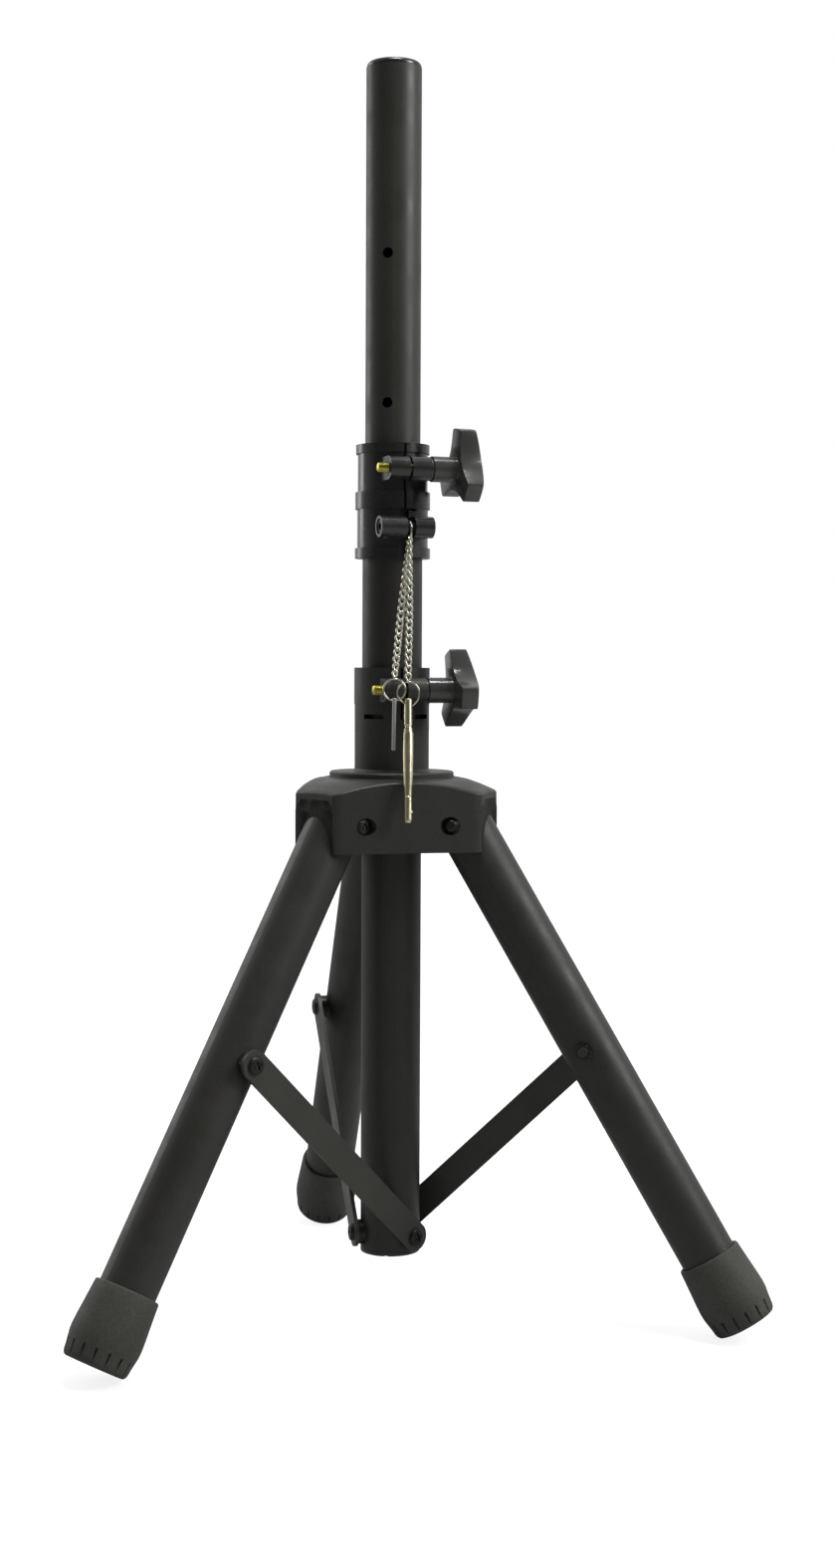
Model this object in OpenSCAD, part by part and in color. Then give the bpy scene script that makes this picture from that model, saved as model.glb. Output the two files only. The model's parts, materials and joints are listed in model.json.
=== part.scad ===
// Speaker stand: a telescoping pole on a folding three-leg base. Millimetres.
// +Z is up, the floor is Z = 0, the pole axis is X = Y = 0, the back leg points to +Y.

/* [Overall] */
// Height of the stand with the pole fully lowered
stand_h = 790; // [770:1:820]
// Outer diameter of the upper pole, the speaker socket size
pole_d = 35; // [35:0.1:35.2]
// Wall thickness of the upper pole
pole_wall = 1.5; // [1.2:0.1:2]
// Outer diameter of the fixed centre tube
tube_d = 38; // [38:0.1:38.2]
// Wall thickness of the fixed centre tube
tube_wall = 1.2; // [1.1:0.05:1.2]
// Height of the lower end of the centre tube above the floor
tube_foot_z = 38.5; // [36:0.5:41]

/* [Legs] */
// Outer diameter of a leg tube
leg_d = 35; // [33:0.5:35]
// Wall thickness of a leg tube
leg_wall = 1.3; // [1:0.1:2]
// Angle of an open leg from the vertical
leg_angle = 31; // [30.5:0.1:31.5]
// Distance of a leg hinge from the pole axis
hinge_r = 47.65; // [47.2:0.05:48]
// Length from the hinge to the sole of the foot
leg_len = 355; // [345:1:360]
// Radius of the flat sole of a foot
sole_r = 18.2; // [17:0.1:18.5]

/* [Braces] */
// Distance along a leg from its hinge to its brace screw
brace_along = 161.4; // [155:0.1:165]
// Height of the lower brace screws
brace_low_z = 49.5; // [48:0.5:52]
// Width of a brace bar
brace_w = 18.5; // [16:0.5:19]
// Thickness of a brace bar
brace_t = 2.5; // [2:0.1:3]

/* [Hub] */
// Distance from the pole axis to each of the three wide hub faces
hub_face = 49.5; // [49:0.1:50]
// Distance from the pole axis to each of the three leg openings
hub_mouth = 64.8; // [64:0.1:65.5]
// Height of the lower edge of the hub
hub_z0 = 297; // [295:0.5:299]
// Height of the flat top of the hub
hub_z1 = 341.4; // [339:0.1:342]
// Width of a leg slot in the hub
slot_w = 36.4; // [36.2:0.1:37]
// Radius of the round flange on the hub
flange_r = 39.6; // [37:0.1:41]
// Height of the top of the neck
neck_z1 = 411.5; // [405:0.5:412]

/* [Clamps] */
// Turn of the upper clamp about the pole axis
upper_az = 7.3; // [0:0.1:15]
// Turn of the neck clamp about the pole axis
lower_az = 2.6; // [0:0.1:10]
// Height of the upper clamp screw
upper_z = 535.2; // [532:0.1:536]
// Height of the pinch screw
pinch_z = 498.8; // [497:0.1:500]
// Height of the neck clamp screw
lower_z = 397.5; // [396:0.5:398]
// Radius of a clamp screw
screw_r = 3; // [3:0.05:3]
// Reach of a knob lobe from its screw
knob_r = 25; // [22:0.5:26]

/* [Safety pins] */
// Turn of the hanging chain about the pole axis
chain_az = -12.4; // [-16:0.1:-10]
// Number of links in each chain strand
link_n = 28; // [28:2:30]
// Spacing of the safety pin holes in the pole
hole_pitch = 92.5; // [90:0.5:96]
// Turn of the safety pin holes about the pole axis
hole_az = -24.6; // [-40:0.1:0]

/* [Hidden] */
pole_r = pole_d / 2;
// The length that slides in the bush is ground a little smaller
slide_r = pole_r - 0.3;
// Lower end of the full-width length, just above the clamp
bare_z = 556;
// Distance of the pinch screw from the pole's axis
pinch_y = 30.2;
tube_r = tube_d / 2;
tube_in = tube_r - tube_wall;
leg_r = leg_d / 2;
leg_in = leg_r - leg_wall;
// Height of a leg hinge: the inner rim of the sole just touches the floor
hinge_z = leg_len * cos(leg_angle) + sole_r * sin(leg_angle);
brace_up_r = hinge_r + brace_along * sin(leg_angle);
brace_up_z = hinge_z - brace_along * cos(leg_angle);
brace_rise = brace_up_z - brace_low_z;
brace_len = sqrt(brace_up_r * brace_up_r + brace_rise * brace_rise);
brace_lean = atan2(brace_up_r, brace_rise);
// Side of a brace that faces the leg, measured from the leg's mid plane
brace_y = 22;
leg_phi = [210, 330, 90];
cap_z = stand_h - 3.6;
clamp_z0 = 480.5;
clamp_z1 = 551.7;
charcoal = [0.19, 0.19, 0.175];
satin = [0.14, 0.14, 0.135];
rubber = [0.17, 0.17, 0.165];
brass = [0.78, 0.72, 0.28];
silver = [0.84, 0.84, 0.76];

// A ring with a bore, from z0 to z1
module ring(r_out, r_in, z0, z1, fn = 96) {
    difference() {
        translate([0, 0, z0]) cylinder(r = r_out, h = z1 - z0, $fn = fn);
        translate([0, 0, z0 - 1]) cylinder(r = r_in, h = z1 - z0 + 2, $fn = fn);
    }
}

// A round bar along X from x0 to x1
module bar_x(r, x0, x1, fn = 48) {
    translate([x0, 0, 0]) rotate([0, 90, 0]) cylinder(r = r, h = x1 - x0, $fn = fn);
}

// A round bar along Y from y0 to y1
module bar_y(r, y0, y1, fn = 48) {
    translate([0, y1, 0]) rotate([90, 0, 0]) cylinder(r = r, h = y1 - y0, $fn = fn);
}

// A six-sided bar along X, af across flats
module hex_x(af, x0, x1) {
    translate([x0, 0, 0]) rotate([0, 90, 0]) cylinder(r = af / sqrt(3), h = x1 - x0, $fn = 6);
}

// A six-sided bar along Y, af across flats
module hex_y(af, y0, y1) {
    translate([0, y1, 0]) rotate([90, 0, 0]) cylinder(r = af / sqrt(3), h = y1 - y0, $fn = 6);
}

// Frame of leg k: its mid plane is local XZ, outward is +X
module at_leg(k) {
    rotate([0, 0, leg_phi[k]]) children();
}

// Frame along leg k: origin on the hinge, the leg runs down -Z
module along_leg(k) {
    at_leg(k) translate([hinge_r, 0, hinge_z]) rotate([0, -leg_angle, 0]) children();
}

// Frame of a clamp screw: local X runs along the screw, -Y points away from the pole
module at_screw(az, r, z) {
    rotate([0, 0, az]) translate([0, -r, z]) children();
}

// ---------------------------------------------------------------- centre tube

module centre_tube() {
    color(charcoal) difference() {
        ring(tube_r, tube_in, tube_foot_z, 513.5);
        for (k = [0:2])
            at_leg(k) translate([0, 0, brace_low_z]) bar_y(2.95, 12, 24);
    }
}

module tube_end_cap() {
    color(satin) difference() {
        union() {
            translate([0, 0, tube_foot_z - 1.6]) cylinder(r = tube_r, h = 1.6, $fn = 96);
            translate([0, 0, tube_foot_z]) cylinder(r = tube_in - 0.02, h = 6, $fn = 96);
        }
        translate([0, 0, tube_foot_z + 0.4]) cylinder(r = tube_in - 2, h = 7, $fn = 96);
        rotate([0, 0, -20]) translate([-1, -20, tube_foot_z - 2]) cube([2, 2.4, 1.2]);
    }
}

module tube_spacers() {
    color(satin) for (k = [0:2])
        difference() {
            at_leg(k) translate([0, 0, brace_low_z]) bar_y(7.8, 15, brace_y - 0.3);
            at_leg(k) translate([0, 0, brace_low_z]) bar_y(3, 10, 30);
            cylinder(r = tube_r, h = 120, $fn = 96);
        }
}

module lower_brace_screws() {
    color(satin) for (k = [0:2])
        at_leg(k) translate([0, 0, brace_low_z]) {
            bar_y(2.95, 13.5, brace_y + brace_t + 0.2);
            bar_y(5.6, brace_y + brace_t + 0.1, brace_y + brace_t + 2.6);
        }
}

// ---------------------------------------------------------------- upper clamp

module upper_clamp() {
    color(satin) difference() {
        union() {
            translate([0, 0, clamp_z0]) cylinder(r = 23.9, h = 6.3, $fn = 96);
            translate([0, 0, clamp_z0]) cylinder(r = 22.4, h = 31.5, $fn = 96);
            translate([0, 0, 511.3]) cylinder(r = 23.7, h = 10.7, $fn = 96);
            translate([0, 0, 521]) cylinder(r = 22.1, h = 28, $fn = 96);
            translate([0, 0, clamp_z1 - 5.7]) cylinder(r = 23.3, h = 5.7, $fn = 96);
            at_screw(upper_az, 29, upper_z) {
                bar_x(7.4, -13.7, 13.7);
                translate([-13.7, 0, -7.3]) cube([27.4, 12, 14.6]);
            }
            at_screw(upper_az, pinch_y, pinch_z) {
                bar_x(6.65, -19.8, 15.3);
                translate([-13, 0, -6.6]) cube([26, 12, 13.2]);
            }
        }
        // bore over the centre tube, then the stop ledge, then the bush seat
        translate([0, 0, clamp_z0 - 1]) cylinder(r = tube_r, h = 34, $fn = 96);
        translate([0, 0, 500]) cylinder(r = 18.2, h = 60, $fn = 96);
        translate([0, 0, 515.5]) cylinder(r = tube_r, h = 45, $fn = 96);
        // slits
        rotate([0, 0, upper_az]) translate([-0.75, -45, 511]) cube([1.5, 45, 50]);
        rotate([0, 0, upper_az]) translate([-2.65, -45, 470]) cube([5.3, 45, 41]);
        // relief slot under the middle flange, on the knob's side
        rotate([0, 0, upper_az]) translate([0, -30, 509.5]) cube([8.5, 20, 1.3]);
        // upper screw hole and its nut pocket
        at_screw(upper_az, 29, upper_z) {
            bar_x(screw_r + 0.06, -30, 30);
            hex_x(10.05, -20, -9);
        }
        // pinch screw hole, its head pocket and its nut pocket
        at_screw(upper_az, pinch_y, pinch_z) {
            bar_x(screw_r + 0.06, -30, 30);
            bar_x(4.8, -21, -14.5);
            hex_x(10.05, 10.8, 20);
        }
    }
}

module pole_bush() {
    color(satin) difference() {
        ring(tube_r, slide_r + 0.06, 515.6, clamp_z1 + 0.6);
        rotate([0, 0, upper_az]) translate([-0.75, -30, 500]) cube([1.5, 30, 60]);
    }
}

module pinch_bolt() {
    color(satin) at_screw(upper_az, pinch_y, pinch_z) difference() {
        union() {
            bar_x(screw_r, -15, 15);
            bar_x(4.6, -19.3, -14.5);
        }
        hex_x(5, -20, -16.5);
    }
}

module pinch_nut() {
    color(satin) at_screw(upper_az, pinch_y, pinch_z) difference() {
        hex_x(10, 10.9, 14.9);
        bar_x(screw_r + 0.04, 8, 18);
    }
}

// A pressed-in nut for a knob screw
module knob_nut(az, r, z) {
    at_screw(az, r, z) difference() {
        hex_x(10, -13.9, -9.1);
        bar_x(screw_r + 0.04, -16, -6);
    }
}

module knob_washer(az, r, z, x0) {
    at_screw(az, r, z) difference() {
        bar_x(6.9, x0, x0 + 1);
        bar_x(screw_r + 0.06, x0 - 1, x0 + 2);
    }
}

// A brass threaded rod with a collar that is moulded into the knob
module knob_bolt(az, r, z, x0) {
    at_screw(az, r, z) {
        bar_x(screw_r, -20.5, x0 + 22);
        bar_x(5, x0 + 18.5, x0 + 21);
    }
}

// Outline of a three-lobed knob, one lobe towards +Y
module knob_outline() {
    circle(r = 12.8, $fn = 64);
    for (a = [0, 120, 240])
        rotate(a) {
            polygon([[-10.6, 9.4], [-8.4, 13], [-7.2, knob_r - 1.4], [-6.2, knob_r - 0.3],
                [6.2, knob_r - 0.3], [7.2, knob_r - 1.4], [8.4, 13], [10.6, 9.4], [0, 0]]);
        }
}

// A three-lobed knob with a round shank; lean turns the lobes about the screw
module knob(az, r, z, x0, lean) {
    at_screw(az, r, z) rotate([lean, 0, 0]) difference() {
        union() {
            bar_x(8, x0, x0 + 18);
            translate([x0 + 15.6, 0, 0]) rotate([90, 0, 90]) linear_extrude(10.6) knob_outline();
            bar_x(12.6, x0 + 26, x0 + 29, 64);
            bar_x(8, x0 + 28.8, x0 + 30.2, 64);
        }
        bar_x(screw_r, x0 - 1, x0 + 22);
        bar_x(5, x0 + 18.5, x0 + 21);
    }
}

module upper_knob_nut() { color(brass) knob_nut(upper_az, 29, upper_z); }
module upper_knob_washer() { color(satin) knob_washer(upper_az, 29, upper_z, 13.8); }
module upper_knob() { color(satin) knob(upper_az, 29, upper_z, 14.9, 4); }
module upper_knob_bolt() { color(brass) knob_bolt(upper_az, 29, upper_z, 14.9); }

// ---------------------------------------------------------------- pole

module pole_guide() {
    color(satin) difference() {
        union() {
            translate([0, 0, 60]) cylinder(r = tube_in - 0.06, h = 26, $fn = 96);
            translate([0, 0, 80]) cylinder(r = pole_r - pole_wall - 0.06, h = 26, $fn = 96);
        }
        translate([0, 0, 50]) cylinder(r = 12.5, h = 70, $fn = 96);
    }
}

module pole_tube() {
    color(charcoal) difference() {
        union() {
            translate([0, 0, 86.1]) cylinder(r = slide_r, h = bare_z - 76.1, $fn = 96);
            translate([0, 0, bare_z]) cylinder(r = pole_r, h = cap_z - bare_z, $fn = 96);
        }
        translate([0, 0, 80]) cylinder(r = pole_r - pole_wall, h = 800, $fn = 96);
        // safety pin holes through both walls
        rotate([0, 0, hole_az]) for (i = [0:4])
            translate([0, 0, 669.5 - i * hole_pitch]) bar_y(3.3, -30, 30);
    }
}

module pole_top_cap() {
    color(satin) difference() {
        union() {
            rotate_extrude($fn = 96)
                polygon([[0, cap_z], [pole_r, cap_z], [pole_r - 0.4, stand_h - 1.4],
                    [pole_r - 2.2, stand_h], [0, stand_h]]);
            translate([0, 0, cap_z - 14]) cylinder(r = pole_r - pole_wall - 0.02, h = 14, $fn = 96);
        }
        translate([0, 0, cap_z - 15]) cylinder(r = 13.5, h = 14.5, $fn = 96);
    }
}

// ---------------------------------------------------------------- hub

// Outline of the hub: three wide faces and three leg openings
function hub_corner(k, side) = let (
        a = leg_phi[k], r = hub_mouth, t = side * (slot_w / 2 + 0.05)
    ) [r * cos(a) - t * sin(a), r * sin(a) + t * cos(a)];
function face_point(n, side) = let (a = n, t = side * 41.5)
    [hub_face * cos(a) - t * sin(a), hub_face * sin(a) + t * cos(a)];

module hub_outline() {
    polygon([
        face_point(270, -1), face_point(270, 1),
        hub_corner(1, -1), hub_corner(1, 1),
        face_point(30, -1), face_point(30, 1),
        hub_corner(2, -1), hub_corner(2, 1),
        face_point(150, -1), face_point(150, 1),
        hub_corner(0, -1), hub_corner(0, 1)]);
}

module hub() {
    color(charcoal) difference() {
        intersection() {
            translate([0, 0, hub_z0]) linear_extrude(hub_z1 - hub_z0) hub_outline();
            rotate_extrude($fn = 128)
                polygon([[0, hub_z0 - 1], [70, hub_z0 - 1], [70, hub_z1 - 8.8],
                    [63.5, hub_z1 - 6.2], [57, hub_z1 - 3.9], [49, hub_z1 - 1.6],
                    [41, hub_z1], [0, hub_z1]]);
        }
        translate([0, 0, hub_z0 - 5]) cylinder(r = 22.5, h = 60, $fn = 96);
        for (k = [0:2]) {
            // slot for the leg head, round in its upper corners
            at_leg(k) {
                translate([26, -slot_w / 2, hub_z0 - 5]) cube([50, slot_w, 30]);
                translate([26, -slot_w / 2 + 6, hub_z0 + 20]) cube([50, slot_w - 12, 11]);
                for (s = [-1, 1])
                    translate([0, s * (slot_w / 2 - 6), hub_z0 + 25]) bar_x(6, 26, 76);
                // hinge bolt hole and the two sunk seats
                translate([hinge_r, 0, hinge_z]) {
                    bar_y(3.02, -40, 40);
                    bar_y(5.4, 26.6, 40);
                    bar_y(5.7, -40, -26.2);
                }
            }
            // hollow behind each wide face
            rotate([0, 0, 30 + 120 * k]) translate([0, 0, hub_z0 - 1])
                linear_extrude(35)
                    polygon([[27.5, 0], [36.5, 18], [45.3, 18], [45.3, -18], [36.5, -18]]);
        }
    }
}

module hub_collar() {
    color(charcoal) difference() {
        union() {
            translate([0, 0, hub_z0 + 2]) cylinder(r = 22.5, h = 45, $fn = 96);
            rotate_extrude($fn = 128)
                polygon([[0, hub_z1], [flange_r - 0.4, hub_z1], [flange_r, hub_z1 + 0.4],
                    [flange_r, hub_z1 + 3.6], [flange_r - 0.9, hub_z1 + 4.5],
                    [25.2, hub_z1 + 4.5], [23.8, hub_z1 + 6], [0, hub_z1 + 6]]);
            translate([0, 0, hub_z1]) cylinder(r = 23.7, h = neck_z1 - hub_z1, $fn = 96);
            translate([0, 0, 388.4]) cylinder(r = 24, h = neck_z1 - 388.4, $fn = 96);
            at_screw(lower_az, 30, lower_z) {
                bar_x(7.4, -13.4, 13.4);
                translate([-13.4, 0, -7.3]) cube([26.8, 12, 14.6]);
            }
        }
        translate([0, 0, 290]) cylinder(r = tube_r + 0.06, h = 130, $fn = 96);
        // slit and the two relief windows that let the clamp ears flex
        rotate([0, 0, lower_az]) translate([-0.75, -45, 379]) cube([1.5, 45, 50]);
        rotate([0, 0, lower_az]) translate([-21, -30, 379.3]) cube([10, 26, 2.8]);
        rotate([0, 0, lower_az]) translate([9, -30, 379.3]) cube([10, 26, 2.8]);
        at_screw(lower_az, 30, lower_z) {
            bar_x(screw_r + 0.06, -30, 30);
            hex_x(10.05, -20, -9);
        }
    }
}

module leg_hinge_bolts() {
    color(satin) for (k = [0:2])
        at_leg(k) translate([hinge_r, 0, hinge_z]) {
            bar_y(3, -29, 27);
            bar_y(4.9, 26.6, 28.8);
        }
}

module leg_hinge_nuts() {
    color(satin) for (k = [0:2])
        at_leg(k) translate([hinge_r, 0, hinge_z]) difference() {
            union() {
                bar_y(5.2, -27.2, -26.2);
                bar_y(4, -30, -27);
            }
            bar_y(3.04, -29.1, -20);
        }
}

module lower_knob_nut() { color(brass) knob_nut(lower_az, 30, lower_z); }
module lower_knob_washer() { color(satin) knob_washer(lower_az, 30, lower_z, 13.5); }
module lower_knob() { color(satin) knob(lower_az, 30, lower_z, 14.6, -19); }
module lower_knob_bolt() { color(brass) knob_bolt(lower_az, 30, lower_z, 14.6); }

// ---------------------------------------------------------------- legs

module leg_tube(k) {
    color(charcoal) along_leg(k) difference() {
        translate([0, 0, -leg_len + 6]) cylinder(r = leg_r, h = leg_len - 6 + 5, $fn = 96);
        translate([0, 0, -leg_len]) cylinder(r = leg_in, h = leg_len + 20, $fn = 96);
        bar_y(3.2, -30, 30);
        translate([0, 0, -brace_along]) bar_y(3.1, -30, 30);
    }
}

module leg_head(k) {
    color(satin) along_leg(k) difference() {
        union() {
            translate([0, 0, -24]) cylinder(r = leg_in - 0.02, h = 29.5, $fn = 96);
            rotate_extrude($fn = 96)
                polygon([[0, 5], [leg_r, 5], [leg_r, 5.8], [leg_r - 1.4, 7], [0, 7]]);
        }
        bar_y(3.06, -30, 30);
        translate([0, 0, -25]) cylinder(r = 11, h = 17, $fn = 64);
    }
}

module foot(k) {
    color(rubber) along_leg(k) difference() {
        translate([0, 0, -leg_len]) rotate_extrude($fn = 96)
            polygon([[0, 0], [sole_r, 0], [19.9, 2.2], [20.6, 7], [21.8, 14], [22, 18],
                [21.7, 24], [20.9, 34], [20, 46], [19.4, 46.5], [0, 46.5]]);
        translate([0, 0, -leg_len + 6]) cylinder(r = leg_r, h = 60, $fn = 96);
        // grip notches round the lower edge
        for (i = [0:15])
            rotate([0, 0, i * 22.5]) translate([19.4, -0.6, -leg_len - 1]) cube([5, 1.2, 11]);
    }
}

module leg_spacer(k) {
    color(satin) along_leg(k) difference() {
        translate([0, 0, -brace_along]) bar_y(7.6, 13, brace_y - 0.3);
        translate([0, 0, -brace_along]) bar_y(3.02, 10, 30);
        translate([0, 0, -brace_along - 20]) cylinder(r = leg_r, h = 40, $fn = 96);
    }
}

module leg_bolt(k) {
    color(satin) along_leg(k) translate([0, 0, -brace_along]) {
        bar_y(3, -21.6, brace_y - 0.3);
    }
}

module leg_nut(k) {
    color(satin) along_leg(k) translate([0, 0, -brace_along]) difference() {
        union() {
            bar_y(6.4, -18.6, -17.6);
            hex_y(9, -21, -18.4);
        }
        bar_y(3.04, -30, -10);
    }
}

// ---------------------------------------------------------------- braces

// Frame of brace k: origin on the lower screw, the bar runs up +Z
module along_brace(k) {
    at_leg(k) translate([0, 0, brace_low_z]) rotate([0, brace_lean, 0]) children();
}

module brace(k) {
    color(charcoal) along_brace(k) translate([0, brace_y + brace_t, 0]) rotate([90, 0, 0])
        linear_extrude(brace_t) difference() {
            union() {
                translate([-brace_w / 2 + 0.05, 0]) square([brace_w - 0.1, brace_len]);
                circle(r = brace_w / 2, $fn = 64);
                translate([0, brace_len]) circle(r = brace_w / 2, $fn = 64);
            }
            circle(r = 3.02, $fn = 48);
            translate([0, brace_len]) circle(r = 3.02, $fn = 48);
        }
}

module brace_screw(k) {
    color(satin) along_brace(k) translate([0, 0, brace_len]) {
        bar_y(3, brace_y + 0.05, brace_y + brace_t + 0.5);
        bar_y(5.6, brace_y + brace_t, brace_y + brace_t + 2.5);
    }
}

module left_leg_tube() { leg_tube(0); }
module left_leg_head() { leg_head(0); }
module left_foot() { foot(0); }
module left_leg_spacer() { leg_spacer(0); }
module left_leg_bolt() { leg_bolt(0); }
module left_leg_nut() { leg_nut(0); }
module left_brace() { brace(0); }
module left_brace_screw() { brace_screw(0); }
module right_leg_tube() { leg_tube(1); }
module right_leg_head() { leg_head(1); }
module right_foot() { foot(1); }
module right_leg_spacer() { leg_spacer(1); }
module right_leg_bolt() { leg_bolt(1); }
module right_leg_nut() { leg_nut(1); }
module right_brace() { brace(1); }
module right_brace_screw() { brace_screw(1); }
module back_leg_tube() { leg_tube(2); }
module back_leg_head() { leg_head(2); }
module back_foot() { foot(2); }
module back_leg_spacer() { leg_spacer(2); }
module back_leg_bolt() { leg_bolt(2); }
module back_leg_nut() { leg_nut(2); }
module back_brace() { brace(2); }
module back_brace_screw() { brace_screw(2); }

// ---------------------------------------------------------------- chain and pins

link_ring = 2.2;
link_wire = 0.5;
ring_mid = 6.75;
ring_wire = 0.6;
hook_mid = 4.4;
hook_wire = 0.6;
// Centres of the two key rings in the chain's frame
left_ring_c = [1.6, -42.3, 397.9];
right_ring_c = [10.1, -40.9, 396.1];
pin_lean = 13.5;
// First link centres under the hook, last link centres on the rings
hook_a = upper_az - chain_az;
function first_link(r) = [r * sin(hook_a), -r * cos(hook_a),
    pinch_z - 3.6 - sqrt(pow(hook_mid, 2) - pow(r - pinch_y, 2)) - 0.6];
left_first = first_link(pinch_y - 1.2);
right_first = first_link(pinch_y + 2.8);
left_last = left_ring_c + [0, 0, ring_mid + 0.95];
right_last = right_ring_c + [0, 0, ring_mid + 0.95];

module in_chain() {
    rotate([0, 0, chain_az]) children();
}

module torus(r_mid, r_wire, fn = 32) {
    rotate_extrude($fn = fn) translate([r_mid, 0]) circle(r = r_wire, $fn = 16);
}

// Links from a to b, each one a quarter turn from the one before
module strand(a, b) {
    d = b - a;
    lean = acos(-d[2] / norm(d));
    side = atan2(d[1], d[0]);
    for (i = [0:link_n - 1])
        translate(a + d * (i / (link_n - 1)))
            rotate([0, 0, side]) rotate([0, -lean, 0]) rotate([0, 0, -side])
                rotate([0, 0, 90 * (i % 2)]) rotate([90, 0, 0]) torus(link_ring, link_wire, 24);
}

module chain_hook() {
    color(silver) at_screw(upper_az, pinch_y, pinch_z - 0.6) rotate([90, 0, 90]) {
        rotate_extrude(angle = 180, $fn = 48) translate([hook_mid, 0]) circle(r = hook_wire, $fn = 20);
        for (s = [-1, 1])
            translate([s * hook_mid, 0, 0]) rotate([90, 0, 0])
                cylinder(r = hook_wire, h = 3, $fn = 20);
        translate([0, -3, 0]) rotate([0, 0, 180])
            rotate_extrude(angle = 180, $fn = 48) translate([hook_mid, 0]) circle(r = hook_wire, $fn = 20);
    }
}

module left_chain() {
    color(silver) in_chain() strand(left_first, left_last);
}

module right_chain() {
    color(silver) in_chain() strand(right_first, right_last);
}

module left_ring() {
    color(silver) in_chain() translate(left_ring_c) rotate([90, 0, 0]) torus(ring_mid, ring_wire, 48);
}

module right_ring() {
    color(silver) in_chain() translate(right_ring_c) rotate([90, 0, 0]) torus(ring_mid, ring_wire, 48);
}

module small_pin() {
    color(silver) in_chain() translate(left_ring_c + [0, 0, -ring_mid]) difference() {
        rotate([0, 1, 0]) rotate_extrude($fn = 32)
            polygon([[0, -30.8], [0.8, -30.8], [1.1, -30.4], [1.3, 1.4], [1.1, 1.7], [0, 1.7]]);
        bar_x(0.8, -5, 5, 24);
    }
}

module safety_pin() {
    color(silver) in_chain() translate(right_ring_c + [0, 0, -ring_mid])
        rotate([-pin_lean, 0, 0]) difference() {
            rotate_extrude($fn = 48)
                polygon([[0, 3], [2, 3], [2.45, 2.4], [2.45, -13.6], [2, -14.2], [2, -15],
                    [2.5, -15.6], [2.6, -16.6], [3.1, -19], [3.15, -32], [2.9, -44],
                    [2.4, -57], [2.4, -57.8], [2.1, -58.4], [2.45, -59], [2.45, -73],
                    [1.6, -74.8], [0, -75.2]]);
            bar_x(1.35, -6, 6, 24);
            translate([0, 0, -68]) bar_x(1.32, -0.8, 6, 24);
        }
}

module detent_ball() {
    color(silver) in_chain() translate(right_ring_c + [0, 0, -ring_mid])
        rotate([-pin_lean, 0, 0]) translate([1.75, 0, -68]) sphere(r = 1.25, $fn = 24);
}

centre_tube();
tube_end_cap();
tube_spacers();
lower_brace_screws();
upper_clamp();
pole_bush();
pinch_bolt();
pinch_nut();
upper_knob_nut();
upper_knob_washer();
upper_knob();
upper_knob_bolt();
pole_guide();
pole_tube();
pole_top_cap();
hub();
hub_collar();
leg_hinge_bolts();
leg_hinge_nuts();
lower_knob_nut();
lower_knob_washer();
lower_knob();
lower_knob_bolt();
left_leg_tube();
left_leg_head();
left_foot();
left_leg_spacer();
left_leg_bolt();
left_leg_nut();
left_brace();
left_brace_screw();
right_leg_tube();
right_leg_head();
right_foot();
right_leg_spacer();
right_leg_bolt();
right_leg_nut();
right_brace();
right_brace_screw();
back_leg_tube();
back_leg_head();
back_foot();
back_leg_spacer();
back_leg_bolt();
back_leg_nut();
back_brace();
back_brace_screw();
chain_hook();
left_chain();
right_chain();
left_ring();
right_ring();
small_pin();
safety_pin();
detent_ball();
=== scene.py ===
"""Looks of the speaker stand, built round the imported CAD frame. Lengths are in millimetres
inside the helpers and become metres when an object is made."""
import json
import math

import bmesh
import bpy
from mathutils import Matrix, Vector


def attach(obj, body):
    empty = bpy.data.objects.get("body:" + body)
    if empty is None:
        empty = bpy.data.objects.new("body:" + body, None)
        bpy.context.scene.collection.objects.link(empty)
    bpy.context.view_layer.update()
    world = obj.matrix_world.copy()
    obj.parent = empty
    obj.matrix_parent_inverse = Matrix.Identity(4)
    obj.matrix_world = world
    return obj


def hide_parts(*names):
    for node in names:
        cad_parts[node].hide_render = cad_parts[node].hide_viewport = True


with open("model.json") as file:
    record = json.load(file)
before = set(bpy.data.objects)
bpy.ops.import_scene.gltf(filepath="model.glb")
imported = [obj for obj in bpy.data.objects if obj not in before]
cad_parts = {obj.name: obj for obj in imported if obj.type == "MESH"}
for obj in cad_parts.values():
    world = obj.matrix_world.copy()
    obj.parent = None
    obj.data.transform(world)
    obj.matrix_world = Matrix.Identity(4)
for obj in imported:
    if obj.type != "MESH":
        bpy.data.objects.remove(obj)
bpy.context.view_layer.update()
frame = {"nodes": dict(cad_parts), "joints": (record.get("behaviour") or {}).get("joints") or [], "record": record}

MM = 0.001
NODES = frame["nodes"]
JOINTS = {j["name"]: j for j in frame["joints"]}
SIDES = ("left", "right", "back")
UP = Vector((0, 0, 1))
NO_TURN = Matrix.Identity(4)
LEG_ANGLE = math.radians(31)    # lean of an open leg


# ------------------------------------------------------------------ frames

def joint_frame(name):
    """Matrix whose origin is a hinge's place and whose X runs along its axis, in millimetres."""
    joint = JOINTS[name]
    x = Vector(joint["axis"]).normalized()
    z = (UP - x * UP.dot(x)).normalized()
    m = Matrix((x, z.cross(x), z)).transposed().to_4x4()
    m.translation = Vector(joint["pos_m"]) * 1000
    return m


def leg_frame(side):
    """Origin on the hinge, Y along the hinge bolt, the leg runs down -Z, X points outward."""
    joint = JOINTS[side + "_leg_fold"]
    y = Vector(joint["axis"]).normalized()
    x = y.cross(UP).normalized()
    m = Matrix((x, y, UP)).transposed().to_4x4()
    m.translation = Vector(joint["pos_m"]) * 1000
    return m


def along_leg(side):
    """The leg's frame turned so that the open leg runs down its -Z."""
    return leg_frame(side) @ Matrix.Rotation(-LEG_ANGLE, 4, "Y")


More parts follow.
